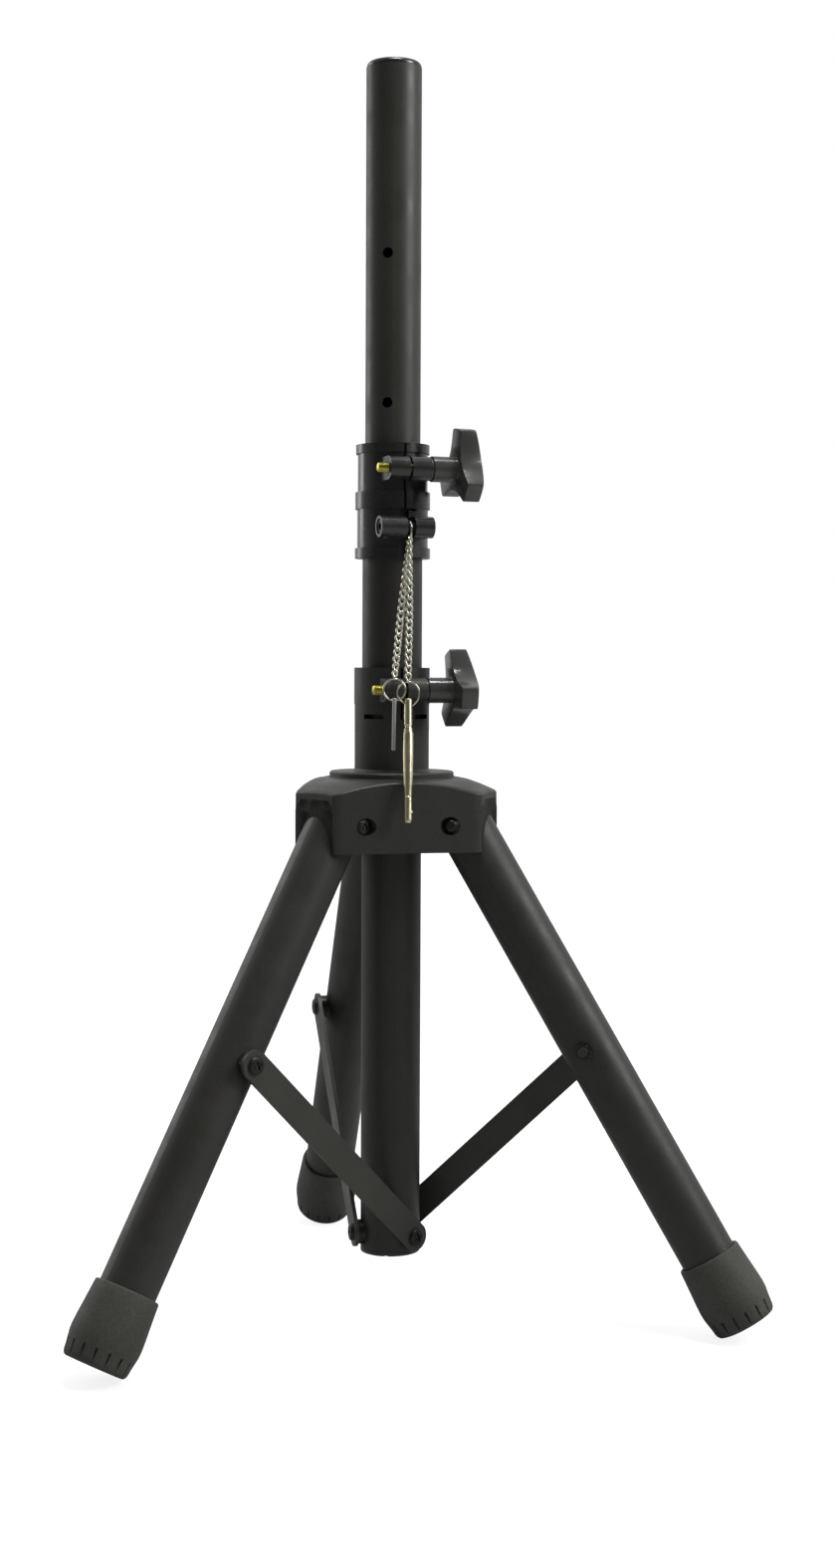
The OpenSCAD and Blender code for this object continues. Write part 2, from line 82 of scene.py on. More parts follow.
UPPER = joint_frame("upper_knob_turn")
LOWER = joint_frame("lower_knob_turn")


# ------------------------------------------------------------------ materials

BLOTCH_SCALE = 22.0       # broad changes of tone
EDGE_HIGHLIGHT_SCALE = 140.0        # breaks up the painted edge highlights
GLOSS_SCALE = 55.0        # changes of roughness
GLOSS_RANGE = 0.08        # how far the roughness goes either way
MIX_A, MIX_B, MIX_COLOUR = 6, 7, 2    # colour sockets of a Mix node


def noise(tree, scale, detail=4.0):
    """Noise in object space, as a value."""
    place = tree.nodes.new("ShaderNodeTexCoord")
    texture = tree.nodes.new("ShaderNodeTexNoise")
    texture.inputs["Scale"].default_value = scale
    texture.inputs["Detail"].default_value = detail
    texture.inputs["Roughness"].default_value = 0.55
    tree.links.new(place.outputs["Object"], texture.inputs["Vector"])
    return texture.outputs["Fac"]


def remap(tree, value, low_out, high_out, low_in=0.3, high_in=0.7):
    """Stretches value from the input range to the output range, and clamps it there."""
    ramp = tree.nodes.new("ShaderNodeMapRange")
    ramp.inputs["From Min"].default_value = low_in
    ramp.inputs["From Max"].default_value = high_in
    ramp.inputs["To Min"].default_value = low_out
    ramp.inputs["To Max"].default_value = high_out
    tree.links.new(value, ramp.inputs["Value"])
    return ramp.outputs["Result"]


def multiply(tree, a, b):
    """Product of two values."""
    product = tree.nodes.new("ShaderNodeMath")
    product.operation = "MULTIPLY"
    tree.links.new(a, product.inputs[0])
    tree.links.new(b, product.inputs[1])
    return product.outputs[0]


def colour_mix(tree):
    mix = tree.nodes.new("ShaderNodeMix")
    mix.data_type = "RGBA"
    return mix


def mottled(tree, base, mottle, fine):
    """The base colour with broad blotches and fine specks."""
    blotch = colour_mix(tree)
    blotch.inputs[MIX_A].default_value = [c * (1 - mottle) for c in base] + [1]
    blotch.inputs[MIX_B].default_value = [c * (1 + mottle) for c in base] + [1]
    tree.links.new(remap(tree, noise(tree, BLOTCH_SCALE), 0, 1), blotch.inputs[0])
    speck = colour_mix(tree)
    speck.blend_type = "MULTIPLY"
    speck.inputs[0].default_value = 1.0
    tree.links.new(blotch.outputs[MIX_COLOUR], speck.inputs[MIX_A])
    grey = tree.nodes.new("ShaderNodeCombineColor")
    tone = remap(tree, fine, 1 - 1.2 * mottle, 1 + 1.2 * mottle)
    for channel in grey.inputs[:3]:
        tree.links.new(tone, channel)
    tree.links.new(grey.outputs[0], speck.inputs[MIX_B])
    return speck.outputs[MIX_COLOUR]


def painted_edge_highlight(tree, colour, edge):
    """Blends colour towards the paler edge colour where the shape is convex and sharp: a painted highlight along
    the edges.
    """
    shape = tree.nodes.new("ShaderNodeNewGeometry")
    edge_highlight_mix = colour_mix(tree)
    edge_highlight_mix.inputs[MIX_B].default_value = list(edge) + [1]
    tree.links.new(colour, edge_highlight_mix.inputs[MIX_A])
    # mask for the painted edge highlight: convex, sharp places
    sharp = remap(tree, shape.outputs["Pointiness"], 0, 0.75, 0.53, 0.62)
    patchy = remap(tree, noise(tree, EDGE_HIGHLIGHT_SCALE), 0.2, 1.0)
    tree.links.new(multiply(tree, sharp, patchy), edge_highlight_mix.inputs[0])
    return edge_highlight_mix.outputs[MIX_COLOUR]


def material(name, base, rough, metallic=0.0, grain=0.0, grain_scale=900.0, mottle=0.12,
             edge=None, spec=0.5):
    """A procedural surface: mottled colour, grain bump grain metres high, roughness that
    varies, and a paler painted edge highlight when an edge colour is given."""
    made = bpy.data.materials.new(name)
    made.use_nodes = True
    tree = made.node_tree
    shader = tree.nodes["Principled BSDF"]
    shader.inputs["Metallic"].default_value = metallic
    shader.inputs["Specular IOR Level"].default_value = spec
    fine = noise(tree, grain_scale, 3.0)
    colour = mottled(tree, base, mottle, fine)
    # the edge colour is a painted highlight along convex edges
    if edge:
        colour = painted_edge_highlight(tree, colour, edge)
    tree.links.new(colour, shader.inputs["Base Color"])
    gloss = remap(tree, noise(tree, GLOSS_SCALE), rough - GLOSS_RANGE, rough + GLOSS_RANGE)
    tree.links.new(gloss, shader.inputs["Roughness"])
    if grain:
        bump = tree.nodes.new("ShaderNodeBump")
        bump.inputs["Strength"].default_value = 1.0
        bump.inputs["Distance"].default_value = grain
        tree.links.new(fine, bump.inputs["Height"])
        tree.links.new(bump.outputs["Normal"], shader.inputs["Normal"])
    return made


COAT = material("powder_coat", (0.037, 0.036, 0.031), 0.46, grain=0.00009, grain_scale=1100,
                mottle=0.10)
POLE = material("pole_coat", (0.046, 0.045, 0.038), 0.44, grain=0.00005, grain_scale=1400,
                mottle=0.10)
HUBMAT = material("hub_coat", (0.043, 0.043, 0.038), 0.44, grain=0.00009, grain_scale=900,
                  mottle=0.05)
# edge colours below are painted highlights along convex edges
BAR = material("brace_paint", (0.050, 0.050, 0.043), 0.42, grain=0.00004, grain_scale=1000,
               mottle=0.10, edge=(0.16, 0.16, 0.15))
MOULD = material("moulded_plastic", (0.019, 0.019, 0.018), 0.24, grain=0.00003,
                 grain_scale=1600, mottle=0.10, edge=(0.06, 0.06, 0.058), spec=0.85)
KNOB = material("knob_plastic", (0.066, 0.066, 0.063), 0.20, grain=0.00003,
                grain_scale=1300, mottle=0.10, edge=(0.07, 0.07, 0.07), spec=0.85)
RUBBER = material("foot_rubber", (0.083, 0.083, 0.073), 0.62, grain=0.00010,
                  grain_scale=800, mottle=0.16, spec=0.35)
SCREW = material("black_screw", (0.022, 0.022, 0.021), 0.34, metallic=0.35, grain=0.00002,
                 grain_scale=2500, mottle=0.15, edge=(0.12, 0.12, 0.115))
ZINC = material("yellow_zinc", (0.72, 0.62, 0.14), 0.28, metallic=1.0, grain=0.00002,
                grain_scale=3000, mottle=0.20)
BRIGHT = material("bright_nickel", (0.80, 0.78, 0.66), 0.24, metallic=1.0, grain=0.00001,
                  grain_scale=2500, mottle=0.08)
PIN = material("pin_nickel", (0.88, 0.82, 0.56), 0.29, metallic=1.0, grain=0.00001,
               grain_scale=2000, mottle=0.10)
DULL = material("dull_zinc", (0.60, 0.62, 0.56), 0.42, metallic=0.85, grain=0.00002,
                grain_scale=2500, mottle=0.10)


# ------------------------------------------------------------------ mesh helpers


def finish_mesh(name, bm, mat, frame_mm, body, stands_for, angle=35):
    """Turns bm (millimetres) into an object at frame_mm that rides on body, stands for the
    CAD nodes in stands_for, which it hides, and takes the material mat."""
    bmesh.ops.remove_doubles(bm, verts=bm.verts, dist=1e-5)
    bmesh.ops.recalc_face_normals(bm, faces=bm.faces)
    me = bpy.data.meshes.new(name)
    bm.to_mesh(me)
    bm.free()
    me.transform(Matrix.Scale(MM, 4) @ frame_mm)
    me.update()
    me.shade_smooth()
    me.set_sharp_from_angle(angle=math.radians(angle))
    me.materials.append(mat)
    ob = bpy.data.objects.new(name, me)
    bpy.context.scene.collection.objects.link(ob)
    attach(ob, body)
    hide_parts(*stands_for)
    return ob


def ring_points(bm, r, z, m, seg):
    """A round row of seg points at height z, or a single one when the radius is 0."""
    if r < 1e-6:
        return [bm.verts.new(m @ Vector((0, 0, z)))]
    turns = [2 * math.pi * i / seg for i in range(seg)]
    return [bm.verts.new(m @ Vector((r * math.cos(t), r * math.sin(t), z))) for t in turns]


def skin(bm, pairs):
    """Faces between each pair of rows; a row of one point closes to a fan."""
    for a, b in pairs:
        seg = max(len(a), len(b))
        for i in range(seg):
            j = (i + 1) % seg
            if len(a) == 1 and len(b) > 1:
                bm.faces.new((a[0], b[i], b[j]))
            elif len(b) == 1 and len(a) > 1:
                bm.faces.new((a[i], b[0], a[j]))
            elif len(a) > 1:
                bm.faces.new((a[i], b[i], b[j], a[j]))


def lathe(bm, profile, seg=64, m=NO_TURN):
    """Closed turned shape from [(radius, height), ...] about Z; ends at radius 0 close it."""
    rings = [ring_points(bm, r, z, m, seg) for r, z in profile]
    pairs = list(zip(rings, rings[1:]))
    if len(rings[0]) > 1 and len(rings[-1]) > 1:
        pairs.append((rings[-1], rings[0]))
    skin(bm, pairs)


def bend(start, pull, end, t):
    """Point at share t of the curve that leaves start towards pull and arrives at end."""
    return (1 - t) ** 2 * start + 2 * t * (1 - t) * pull + t * t * end


def rounded(profile, radius=0.4, steps=3):
    """Rounds the inner corners of an open profile [(r, z), ...] with short arcs."""
    out = [profile[0]]
    for p0, p1, p2 in zip(profile, profile[1:], profile[2:]):
        corner = Vector(p1)
        back = Vector(p0) - corner
        ahead = Vector(p2) - corner
        cut = min(radius, back.length * 0.45, ahead.length * 0.45)
        if cut < 1e-4:
            out.append(p1)
            continue
        start = corner + back.normalized() * cut
        end = corner + ahead.normalized() * cut
        out += [tuple(bend(start, corner, end, i / steps)) for i in range(steps + 1)]
    out.append(profile[-1])
    return out


def sweep(bm, points, radius, seg, closed, up):
    """Round wire along points, with parallel-carried rings; up sets where they start."""
    count = len(points)
    rings = []
    normal = None
    for i, p in enumerate(points):
        before = points[i - 1] if (i > 0 or closed) else p
        after = points[(i + 1) % count] if (i < count - 1 or closed) else p
        along = (after - before).normalized()
        if normal is None:
            normal = along.cross(up)
        normal = (normal - along * normal.dot(along)).normalized()
        side = along.cross(normal)
        turns = [2 * math.pi * k / seg for k in range(seg)]
        rings.append([bm.verts.new(p + radius * (math.cos(t) * normal + math.sin(t) * side))
                      for t in turns])
    pairs = list(zip(rings, rings[1:]))
    if closed:
        pairs.append((rings[-1], least_twisted(rings[-1], rings[0])))
    else:
        pairs.append(([bm.verts.new(points[0])], rings[0]))
        pairs.append((rings[-1], [bm.verts.new(points[-1])]))
    skin(bm, pairs)


def least_twisted(ring, other):
    """The points of other, turned round to lie closest to those of ring."""
    seg = len(ring)

    def gap(shift):
        return sum((ring[k].co - other[(k + shift) % seg].co).length for k in range(seg))

    shift = min(range(seg), key=gap)
    return [other[(k + shift) % seg] for k in range(seg)]


def bevel(bm, width, segments, angle):
    """Rounds every edge sharper than angle degrees."""
    bmesh.ops.remove_doubles(bm, verts=bm.verts, dist=1e-5)
    bmesh.ops.recalc_face_normals(bm, faces=bm.faces)
    edges = [e for e in bm.edges if e.is_manifold
             and e.calc_face_angle(0) > math.radians(angle)]
    bmesh.ops.bevel(bm, geom=edges, offset=width, segments=segments, profile=0.6,
                    affect="EDGES", clamp_overlap=True)


TO_X = Matrix.Rotation(math.radians(90), 4, "Y")   # turned shapes along X
TO_Y = Matrix.Rotation(math.radians(-90), 4, "X")  # turned shapes along Y
TO_NEG_Y = Matrix.Rotation(math.radians(90), 4, "X")


# ------------------------------------------------------------------ carried-over CAD nodes

def paint(mat, *nodes):
    """Gives CAD nodes a surface; their shapes stay as imported."""
    for node in nodes:
        me = NODES[node].data
        me.materials.clear()
        me.materials.append(mat)


paint(COAT, "centre_tube", *[s + "_leg_tube" for s in SIDES])
paint(POLE, "pole_tube")
paint(HUBMAT, "hub", "hub_collar")
paint(BAR, *[s + "_brace" for s in SIDES])
paint(MOULD, "upper_clamp", "pole_bush", "pole_guide", "pole_top_cap", "tube_end_cap",
      *[s + "_leg_head" for s in SIDES])
paint(KNOB, "upper_knob", "lower_knob")
paint(RUBBER, *[s + "_foot" for s in SIDES])
paint(SCREW, "tube_spacers", "lower_brace_screws", "pinch_bolt", "pinch_nut",
      "upper_knob_washer", "lower_knob_washer", "leg_hinge_bolts", "leg_hinge_nuts",
      *[s + part for s in SIDES
        for part in ("_leg_spacer", "_leg_bolt", "_leg_nut", "_brace_screw")])
paint(ZINC, "upper_knob_nut", "upper_knob_bolt", "lower_knob_nut", "lower_knob_bolt")
paint(BRIGHT, "chain_hook", "left_chain", "right_chain", "left_ring", "right_ring",
      "detent_ball")
paint(DULL, "small_pin")
paint(PIN, "safety_pin")


# ------------------------------------------------------------------ measuring the CAD nodes

def span(node, m=NO_TURN, near=None):
    """Lowest and highest corners of a node in frame m, in millimetres. near keeps only the
    points within that distance of m's Y axis, for nodes made of several solids."""
    inv = m.inverted()
    pts = [inv @ (v.co * 1000) for v in NODES[node].data.vertices]
    if near:
        pts = [p for p in pts if math.hypot(p.x, p.z) < near]
    return (Vector([min(p[i] for p in pts) for i in range(3)]),
            Vector([max(p[i] for p in pts) for i in range(3)]))


def body_of(node):
    """Name of the body that carries a node."""
    for name, body in frame["record"]["behaviour"]["bodies"].items():
        if node in body:
            return name
    raise KeyError(node)


# ------------------------------------------------------------------ CAD shapes with softened edges

SLIVER = 4e-8                      # square metres; a smaller face has no normal worth keeping
WIDE_RADIUS = 1.8                  # radius of the broad cast edges, millimetres
FLAT_ANGLE = math.radians(0.8)     # facets that meet flatter than this are merged
EDGE_ANGLE = math.radians(32)      # edges sharper than this are rounded
SMOOTH_DEG = 40                    # shading runs smoothly over flatter edges


def flat_areas(me):
    """For each face, the whole area of the flat it belongs to."""
    group = list(range(len(me.polygons)))

    def root(k):
        while group[k] != k:
            group[k] = group[group[k]]
            k = group[k]
        return k

    seen = {}
    flat = math.cos(math.radians(0.4))
    for f in me.polygons:
        for key in f.edge_keys:
            other = seen.get(key)
            if other is None:
                seen[key] = f.index
            elif f.normal.dot(me.polygons[other].normal) > flat:
                group[root(f.index)] = root(other)
    total = {}
    for f in me.polygons:
        total[root(f.index)] = total.get(root(f.index), 0.0) + f.area
    return [total[root(k)] for k in range(len(me.polygons))]


def weigh_normals(me, limit):
    """Corner normals led by the largest flats, so that they stay flat next to rounded edges."""
    around = [[] for each in me.vertices]
    for f in me.polygons:
        for v in f.vertices:
            around[v].append(f.index)
    close = math.cos(math.radians(limit))
    areas = flat_areas(me)
    faces = [(f.normal.copy(), areas[f.index] ** 2) for f in me.polygons]
    normals = []
    for f in me.polygons:
        own = faces[f.index][0]
        if f.area < SLIVER:
            nearby = [faces[k] for v in f.vertices for k in around[v]]
            own = sum((normal * weight for normal, weight in nearby), Vector((0, 0, 0)))
            own.normalize()
        for v in f.vertices:
            total = Vector((0, 0, 0))
            for k in around[v]:
                normal, weight = faces[k]
                if own.dot(normal) > close:
                    total += normal * weight
            normals.append(total.normalized() if total.length > 0 else own)
    me.normals_split_custom_set(normals)


def refine(node, mat, width, wide=None, keep=None, swell=None):
    """A new piece from the node's own shape: split corners joined, flat facets merged,
    edges rounded by width millimetres. It stands for the node. wide(edge) picks edges with
    the larger radius WIDE_RADIUS, keep(edge) those left sharp. swell(point) gives a rise
    in millimetres."""
    bm = bmesh.new()
    bm.from_mesh(NODES[node].data)
    bmesh.ops.scale(bm, vec=(1000, 1000, 1000), verts=bm.verts)
    bmesh.ops.remove_doubles(bm, verts=bm.verts, dist=2e-3)
    bmesh.ops.dissolve_limit(bm, angle_limit=FLAT_ANGLE, verts=bm.verts, edges=bm.edges)
    bmesh.ops.recalc_face_normals(bm, faces=bm.faces)
    if swell:
        for v in bm.verts:
            v.co.z += swell(v.co)
    if wide:
        edges = [e for e in bm.edges if e.is_manifold and wide(e)]
        bmesh.ops.bevel(bm, geom=edges, offset=WIDE_RADIUS, segments=4, profile=0.5,
                        affect="EDGES", clamp_overlap=False)
        bmesh.ops.remove_doubles(bm, verts=bm.verts, dist=0.02)
    edges = [e for e in bm.edges if e.is_manifold and not (keep and keep(e))
             and e.calc_face_angle(0) > EDGE_ANGLE]
    bmesh.ops.bevel(bm, geom=edges, offset=width, segments=2, profile=0.55,
                    affect="EDGES", clamp_overlap=True)
    bmesh.ops.triangulate(bm, faces=[f for f in bm.faces if len(f.verts) > 4])
    piece = finish_mesh(node + "_shape", bm, mat, NO_TURN, body_of(node), (node,),
                        angle=SMOOTH_DEG)
    weigh_normals(piece.data, SMOOTH_DEG)


# ------------------------------------------------------------------ fasteners

def cross_recess(r):
    """Depth of a cross recess at (x, y) in a head of radius r."""
    arm = 0.52 * r
    half_slot = 0.13 * r

    def depth(x, y):
        far = max(abs(x), abs(y))
        near = min(abs(x), abs(y))
        if near > half_slot or far > arm:
            return 0.0
        return 0.30 * r * (1 - 0.7 * far / arm)
    return depth


def hex_recess(across_flats, deep):
    """Depth of a six-sided socket at (x, y)."""
    def depth(x, y):
        inside = all(abs(x * math.cos(t) + y * math.sin(t)) < across_flats / 2
                     for t in (0, math.pi / 3, 2 * math.pi / 3))
        return deep if inside else 0.0
    return depth


def head(bm, r, h, m, recess, crown=0.30, seg=96):
    """A turned screw head, base on z = 0, crowned, with a driving recess sunk in it."""
    radii = [r * k / 26 for k in range(1, 24)] + [r * 0.93, r * 0.975, r * 0.995, r]

    def top(q):
        return h * (1 - crown * (q / r) ** 2) - 0.25 * h * max(0, q / r - 0.9) / 0.1

    centre = [bm.verts.new(m @ Vector((0, 0, top(0) - recess(0, 0))))]
    rings = [centre]
    for q in radii:
        row = []
        for i in range(seg):
            x = q * math.cos(2 * math.pi * i / seg)
            y = q * math.sin(2 * math.pi * i / seg)
            row.append(bm.verts.new(m @ Vector((x, y, top(q) - recess(x, y)))))
        rings.append(row)
    rings.append(ring_points(bm, r, 0, m, seg))
    rings.append(ring_points(bm, 0, 0, m, seg))
    skin(bm, zip(rings, rings[1:]))


def shank(bm, r, z0, z1, m, seg=32, pitch=0.0, thread=0.0):
    """A shaft along Z from z0 to z1 with rounded ends, threaded when pitch is given."""
    prof = [(0, z0), (r * 0.55, z0), (r * 0.85, z0 + 0.25), (r, z0 + 0.7)]
    if pitch:
        z = z0 + 0.7
        while z + pitch < z1 - 0.7:
            prof += [(r, z + 0.30 * pitch), (r - thread, z + 0.62 * pitch), (r, z + pitch)]
            z += pitch
    prof += [(r, z1 - 0.3), (r - 0.3, z1), (0, z1)]
    lathe(bm, prof, seg, m)


def hex_nut(bm, across_flats, z0, z1, m):
    """A six-sided nut with turned-down corners and a locking ring on top."""
    seg = 48
    r = across_flats / math.sqrt(3)
    rings = []
    for z, k in ((z0, 0.93), (z0 + 0.5, 1.0), (z1 - 0.6, 1.0), (z1, 0.90)):
        row = []
        for i in range(seg):
            t = 2 * math.pi * i / seg
            from_flat = (t + math.pi / 6) % (math.pi / 3) - math.pi / 6
            q = min(across_flats / 2 / math.cos(from_flat), r * k)
            row.append(bm.verts.new(m @ Vector((q * math.cos(t), q * math.sin(t), z))))
        rings.append(row)
    for z, k in ((z1, 0.62), (z1 + 0.5, 0.56), (z1 + 0.5, 0.40), (z1 - 0.2, 0.36)):
        rings.append(ring_points(bm, r * k, z, m, seg))
    skin(bm, zip(rings, rings[1:]))
    bm.faces.new(list(reversed(rings[0])))
    bm.faces.new(rings[-1])


SCREW_R = 2.98           # shaft of the M6 screws
HINGE_HEAD_R = 4.85
BRACE_HEAD_R = 5.55
BRACE_LOW_Z = JOINTS["left_brace_fold"]["pos_m"][2] * 1000


def cross_screw(bm, m, head_r, head_h, low, high):
    """A cross-recessed screw along Z from low to high, its head at the high end."""
    head(bm, head_r, head_h, m @ Matrix.Translation((0, 0, high - head_h + 0.2)),
         cross_recess(head_r))
    shank(bm, SCREW_R, low, high - head_h + 0.4, m)


def on_bolt(m, turn_deg):
    """m turned so that Z looks along its Y, with the recess turned by turn_deg."""
    return m @ TO_Y @ Matrix.Rotation(math.radians(turn_deg), 4, "Z")


def hinge_bolts():
    bm = bmesh.new()
    for side in SIDES:
        hinge = leg_frame(side)
        lo, hi = span("leg_hinge_bolts", hinge, 6)
        cross_screw(bm, on_bolt(hinge, 20), HINGE_HEAD_R, 2.4, lo.y, hi.y)
    finish_mesh("leg_hinge_screws", bm, SCREW, NO_TURN, "hub", ("leg_hinge_bolts",))


def hinge_nuts():
    """Domed nuts with a thin flange, seen in the sunk seats of the hub."""
    bm = bmesh.new()
    for side in SIDES:
        hinge = leg_frame(side)
        out = -span("leg_hinge_nuts", hinge, 8)[0].y
        outline = [(3.1, out - 3.8), (5.2, out - 3.8), (5.2, out - 2.9), (4.3, out - 2.8),
                   (4.0, out - 2.0), (3.8, out - 0.9), (3.1, out - 0.2), (1.7, out + 0.15),
                   (0, out + 0.2), (0, out - 3.0)]
        closing = [(0, out - 3.0), (3.1, out - 3.0)]
        lathe(bm, rounded(outline, 0.35)[:-1] + closing, 64, hinge @ TO_NEG_Y)
    finish_mesh("leg_hinge_cap_nuts", bm, SCREW, NO_TURN, "hub", ("leg_hinge_nuts",))


def lower_brace_bolts():
    bm = bmesh.new()
    for side in SIDES:
        tab = leg_frame(side)
        tab.translation = Vector((0, 0, BRACE_LOW_Z))
        lo, hi = span("lower_brace_screws", tab, 6)
        cross_screw(bm, on_bolt(tab, 20), BRACE_HEAD_R, 2.7, lo.y, hi.y)
    finish_mesh("lower_brace_bolts", bm, SCREW, NO_TURN, "centre_tube",
                ("lower_brace_screws",))


def brace_pivot(side):
    """Screw head on the brace, and the washer and lock nut behind the leg."""
    leg = along_leg(side)
    lo, hi = span(side + "_leg_bolt", leg)
    at = leg @ Matrix.Translation((0, 0, (lo.z + hi.z) / 2))
    lo, hi = span(side + "_brace_screw", at)
    bm = bmesh.new()
    cross_screw(bm, on_bolt(at, 50), BRACE_HEAD_R, 2.7, lo.y, hi.y)
    finish_mesh(side + "_brace_head", bm, SCREW, NO_TURN, side + "_brace",
                (side + "_brace_screw",))
    lo, hi = span(side + "_leg_nut", at)
    bm = bmesh.new()
    back = at @ TO_NEG_Y
    washer = [(3.1, -hi.y), (6.3, -hi.y), (6.3, -hi.y + 1.0), (3.1, -hi.y + 1.0)]
    lathe(bm, rounded(washer, 0.2), 64, back)
    hex_nut(bm, 9, -hi.y + 0.9, -lo.y - 0.4, back)
    finish_mesh(side + "_lock_nut", bm, SCREW, NO_TURN, side + "_leg", (side + "_leg_nut",))


# ------------------------------------------------------------------ clamp screws and knobs

KNOB_TIP = 25.6       # reach of a lobe from the screw
KNOB_WAIST = 12.8     # radius in the valleys between lobes
KNOB_BACK = 15.6      # from the shank's end to the back of the lobes
KNOB_DEEP = 14.8      # depth of the knob on its axis
KNOB_THIN = 4.2       # how much less deep it is at the tips
KNOB_SHANK_R = 8.0
KNOB_LEAN = {"upper_knob": 9, "lower_knob": -19}    # degrees from a lobe straight up


def knob_outline():
    """Closed ring of (along, across) points: three flat-ended lobes, first one along +."""
    half_lobe = [(13.0, 8.4), (16.0, 7.85), (20.0, 7.35), (KNOB_TIP - 1.9, 7.0),
                 (KNOB_TIP - 0.9, 6.6), (KNOB_TIP - 0.35, 5.9), (KNOB_TIP - 0.08, 4.6),
                 (KNOB_TIP, 2.4)]
    lobe = [(a, -p) for a, p in half_lobe] + [(a, p) for a, p in reversed(half_lobe)]
    third = math.radians(120)
    start = Vector(half_lobe[0])
    end = Vector((start.x * math.cos(third) + start.y * math.sin(third),
                  start.x * math.sin(third) - start.y * math.cos(third)))
    deepest = KNOB_WAIST * Vector((math.cos(third / 2), math.sin(third / 2)))
    pull = (4 * deepest - start - end) / 2
    valley = [tuple(bend(start, pull, end, i / 12)) for i in range(1, 12)]
    outline = []
    for k in range(3):
        c = math.cos(third * k)
        d = math.sin(third * k)
        outline += [(a * c - p * d, a * d + p * c) for a, p in lobe + valley]
    return outline


def knob(name, at):
    """Three-lobed knob with a crowned face, on a short shank."""
    low = span(name, at)[0].x
    back = low + KNOB_BACK
    outline = knob_outline()
    m = at @ TO_X @ Matrix.Rotation(math.radians(KNOB_LEAN[name]), 4, "Z")
    bm = bmesh.new()

    def crown(q):
        return back + KNOB_DEEP - KNOB_THIN * (q / KNOB_TIP) ** 2

    def layer(scale, height):
        return [bm.verts.new(m @ Vector((-a * scale, p * scale,
                                         height(math.hypot(a * scale, p * scale)))))
                for a, p in outline]

    rows = [layer(1.0, lambda q: back)]
    for scale in (1.0, 0.93, 0.8, 0.65, 0.5, 0.35, 0.2, 0.08):
        rows.append(layer(scale, crown))
    skin(bm, zip(rows, rows[1:]))
    bm.faces.new(rows[-1])
    bm.faces.new(list(reversed(rows[0])))
    bevel(bm, 0.6, 3, 32)
    stem = [(3.2, low), (KNOB_SHANK_R, low), (KNOB_SHANK_R, back - 0.2),
            (KNOB_SHANK_R + 0.7, back + 0.4), (3.2, back + 0.4)]
    lathe(bm, rounded(stem, 0.6), 64, at @ TO_X)
    finish_mesh(name + "_grip", bm, KNOB, NO_TURN, name, (name,), angle=26)


def knob_screw(name, at):
    """The knob's brass screw: thread at the far end, a plain shaft and a moulded-in head."""
    lo, hi = span(name + "_bolt", at)
    bm = bmesh.new()
    m = at @ TO_X
    shank(bm, SCREW_R, lo.x, lo.x + 9.0, m, 40, pitch=1.0, thread=0.35)
    lathe(bm, [(0, lo.x + 8.8), (2.9, lo.x + 8.8), (2.9, hi.x - 3), (4.9, hi.x - 3),
               (4.9, hi.x - 1), (0, hi.x - 1)], 40, m)
    finish_mesh(name + "_screw", bm, ZINC, NO_TURN, name, (name + "_bolt",))


def at_hook():
    """The upper knob's frame moved to the pinch screw, where the chain hook turns."""
    at = UPPER.copy()
    at.translation = Vector(JOINTS["chain_hook_swing"]["pos_m"]) * 1000
    return at


def pinch_screw():
    """Socket-head screw, its head at the left end."""
    at = at_hook()
    lo, hi = span("pinch_bolt", at)
    bm = bmesh.new()
    m = at @ Matrix.Rotation(math.radians(-90), 4, "Y")
    head(bm, 4.5, 4.8, m @ Matrix.Translation((0, 0, -lo.x - 4.8)), hex_recess(4.2, 2.6),
         crown=0.06)
    shank(bm, SCREW_R, -hi.x, -lo.x - 4.6, m)
    finish_mesh("pinch_screw", bm, SCREW, NO_TURN, "centre_tube", ("pinch_bolt",))


# ------------------------------------------------------------------ feet

NOTCHES = 16                      # grip notches round a foot
NOTCH_HALF = math.radians(1.65)
NOTCH_FLANK = 0.006               # radians beside a notch's edge
NOTCH_TOP = 9.8                   # height of the notches above the sole
NOTCH_FLOOR = 0.882               # their depth, as a share of the foot's radius


def foot_profile(r, z0, z1, tube_r):
    """Half section of a boot of radius r from z0 to z1, ringed sole first, open at the top."""
    sole = 0.827 * r
    rings = [(0, z0 + 0.9), (4.0, z0 + 0.9), (4.4, z0 + 0.1), (8.2, z0 + 0.1), (8.6, z0 + 0.9),
             (12.4, z0 + 0.9), (12.8, z0), (sole - 0.5, z0), (sole + 0.5, z0 + 0.35)]
    flare = [(0.895, 1.7), (0.915, 3.2), (0.936, 7), (0.957, 9.6), (0.960, 10.0), (0.991, 14),
             (1, 18), (0.986, 24), (0.968, 29), (0.95, 34), (0.93, 40)]
    rim = [(0.912 * r, z1 - 1.1), (0.903 * r, z1 - 0.35), (0.885 * r, z1), (tube_r + 1.0, z1),
           (tube_r + 0.35, z1 - 0.3), (tube_r + 0.05, z1 - 1.0), (tube_r, z0 + 6), (0, z0 + 6)]
    return rings + [(share * r, z0 + up) for share, up in flare] + rim


def notch_turns():
    """Angles round a foot, each with whether it lies in a grip notch."""
    turns = []
    pitch = 2 * math.pi / NOTCHES
    for k in range(NOTCHES):
        mid = pitch * k
        turns += [(mid - NOTCH_HALF - NOTCH_FLANK, False), (mid - NOTCH_HALF + 0.004, True),
                  (mid, True), (mid + NOTCH_HALF - 0.004, True),
                  (mid + NOTCH_HALF + NOTCH_FLANK, False)]
        start = mid + NOTCH_HALF + NOTCH_FLANK
        stop = mid + pitch - NOTCH_HALF - NOTCH_FLANK
        turns += [(start + (stop - start) * i / 11, False) for i in range(1, 11)]
    return turns


